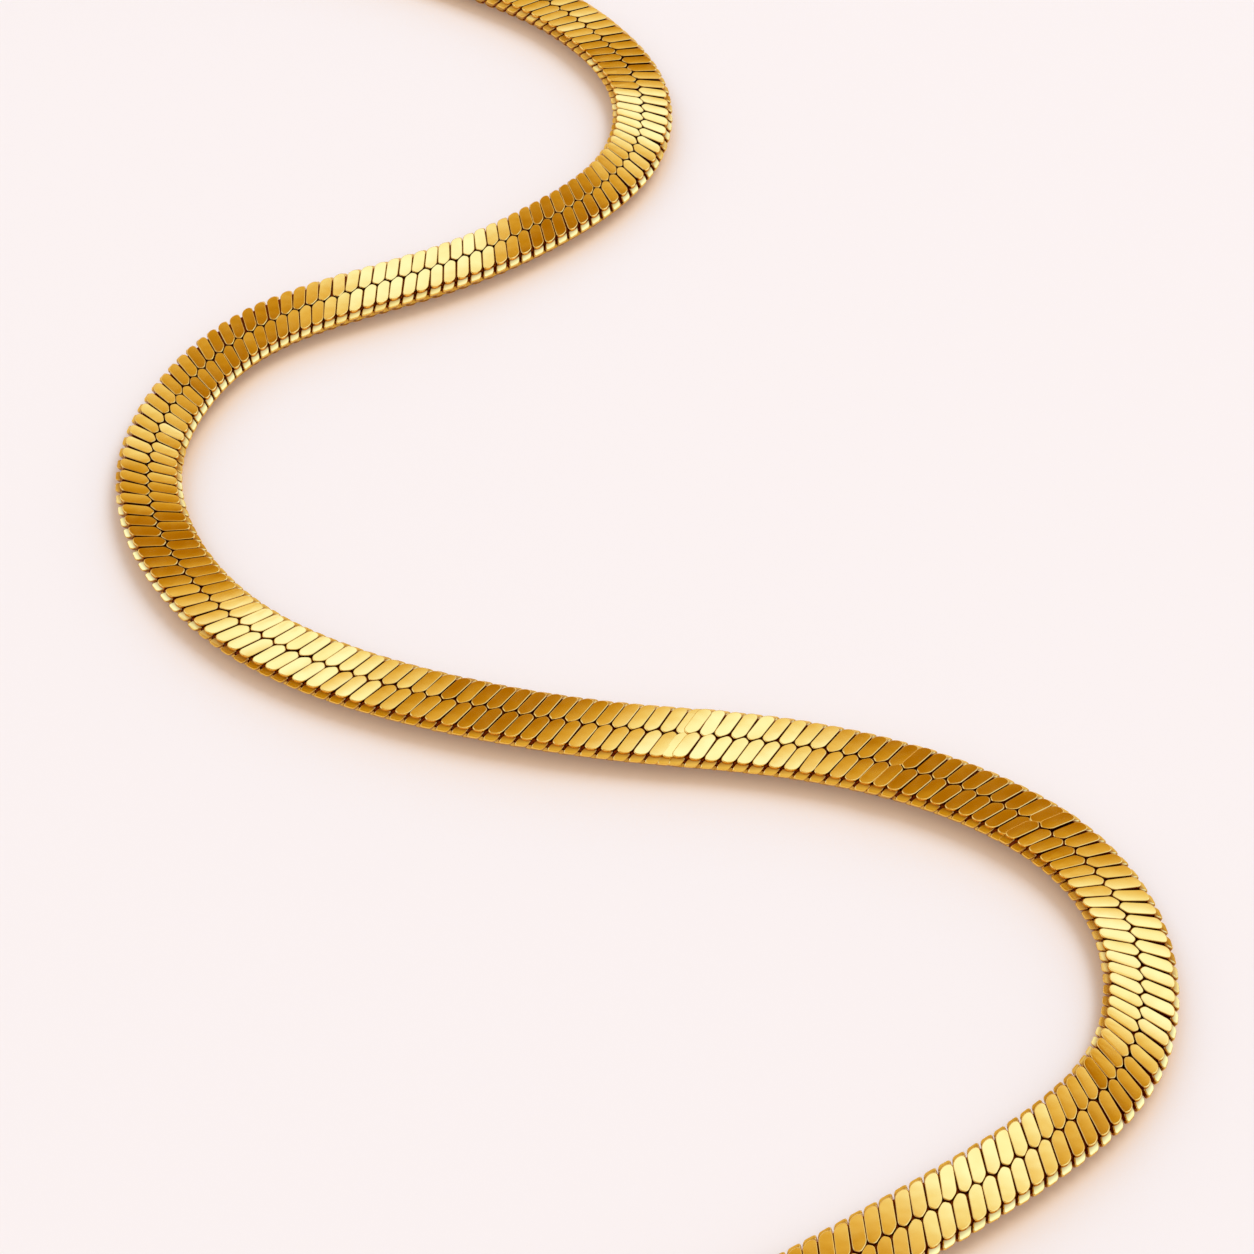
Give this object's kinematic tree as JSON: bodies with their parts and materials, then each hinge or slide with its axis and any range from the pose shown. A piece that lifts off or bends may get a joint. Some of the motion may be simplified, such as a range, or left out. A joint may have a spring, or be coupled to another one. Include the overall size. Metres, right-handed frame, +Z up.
{
  "type": "flat snake chain necklace",
  "caption": "Closed necklace of flat snake chain lying in an S-shaped curve, with end caps and a clasp, worn round the neck.",
  "frame": {"origin": "middle of the whole loop in plan, on the surface that the necklace lies on", "axes": "+Z up from that surface; +Y away from the picture's viewer and +X to the viewer's right; the clasp is at the -X side, on y = 0"},
  "size_m": [0.1308, 0.1285, 0.003],
  "materials": {
    "chain": "gold-plated, softly polished scales with brighter rims and dark gaps",
    "fittings": "gold-plated, polished"
  },
  "bodies": {
    "root": {"chain": "chain", "tail_end_cap": "fittings", "hook_end_cap": "fittings", "clasp": "fittings"}
  },
  "joints": []
}
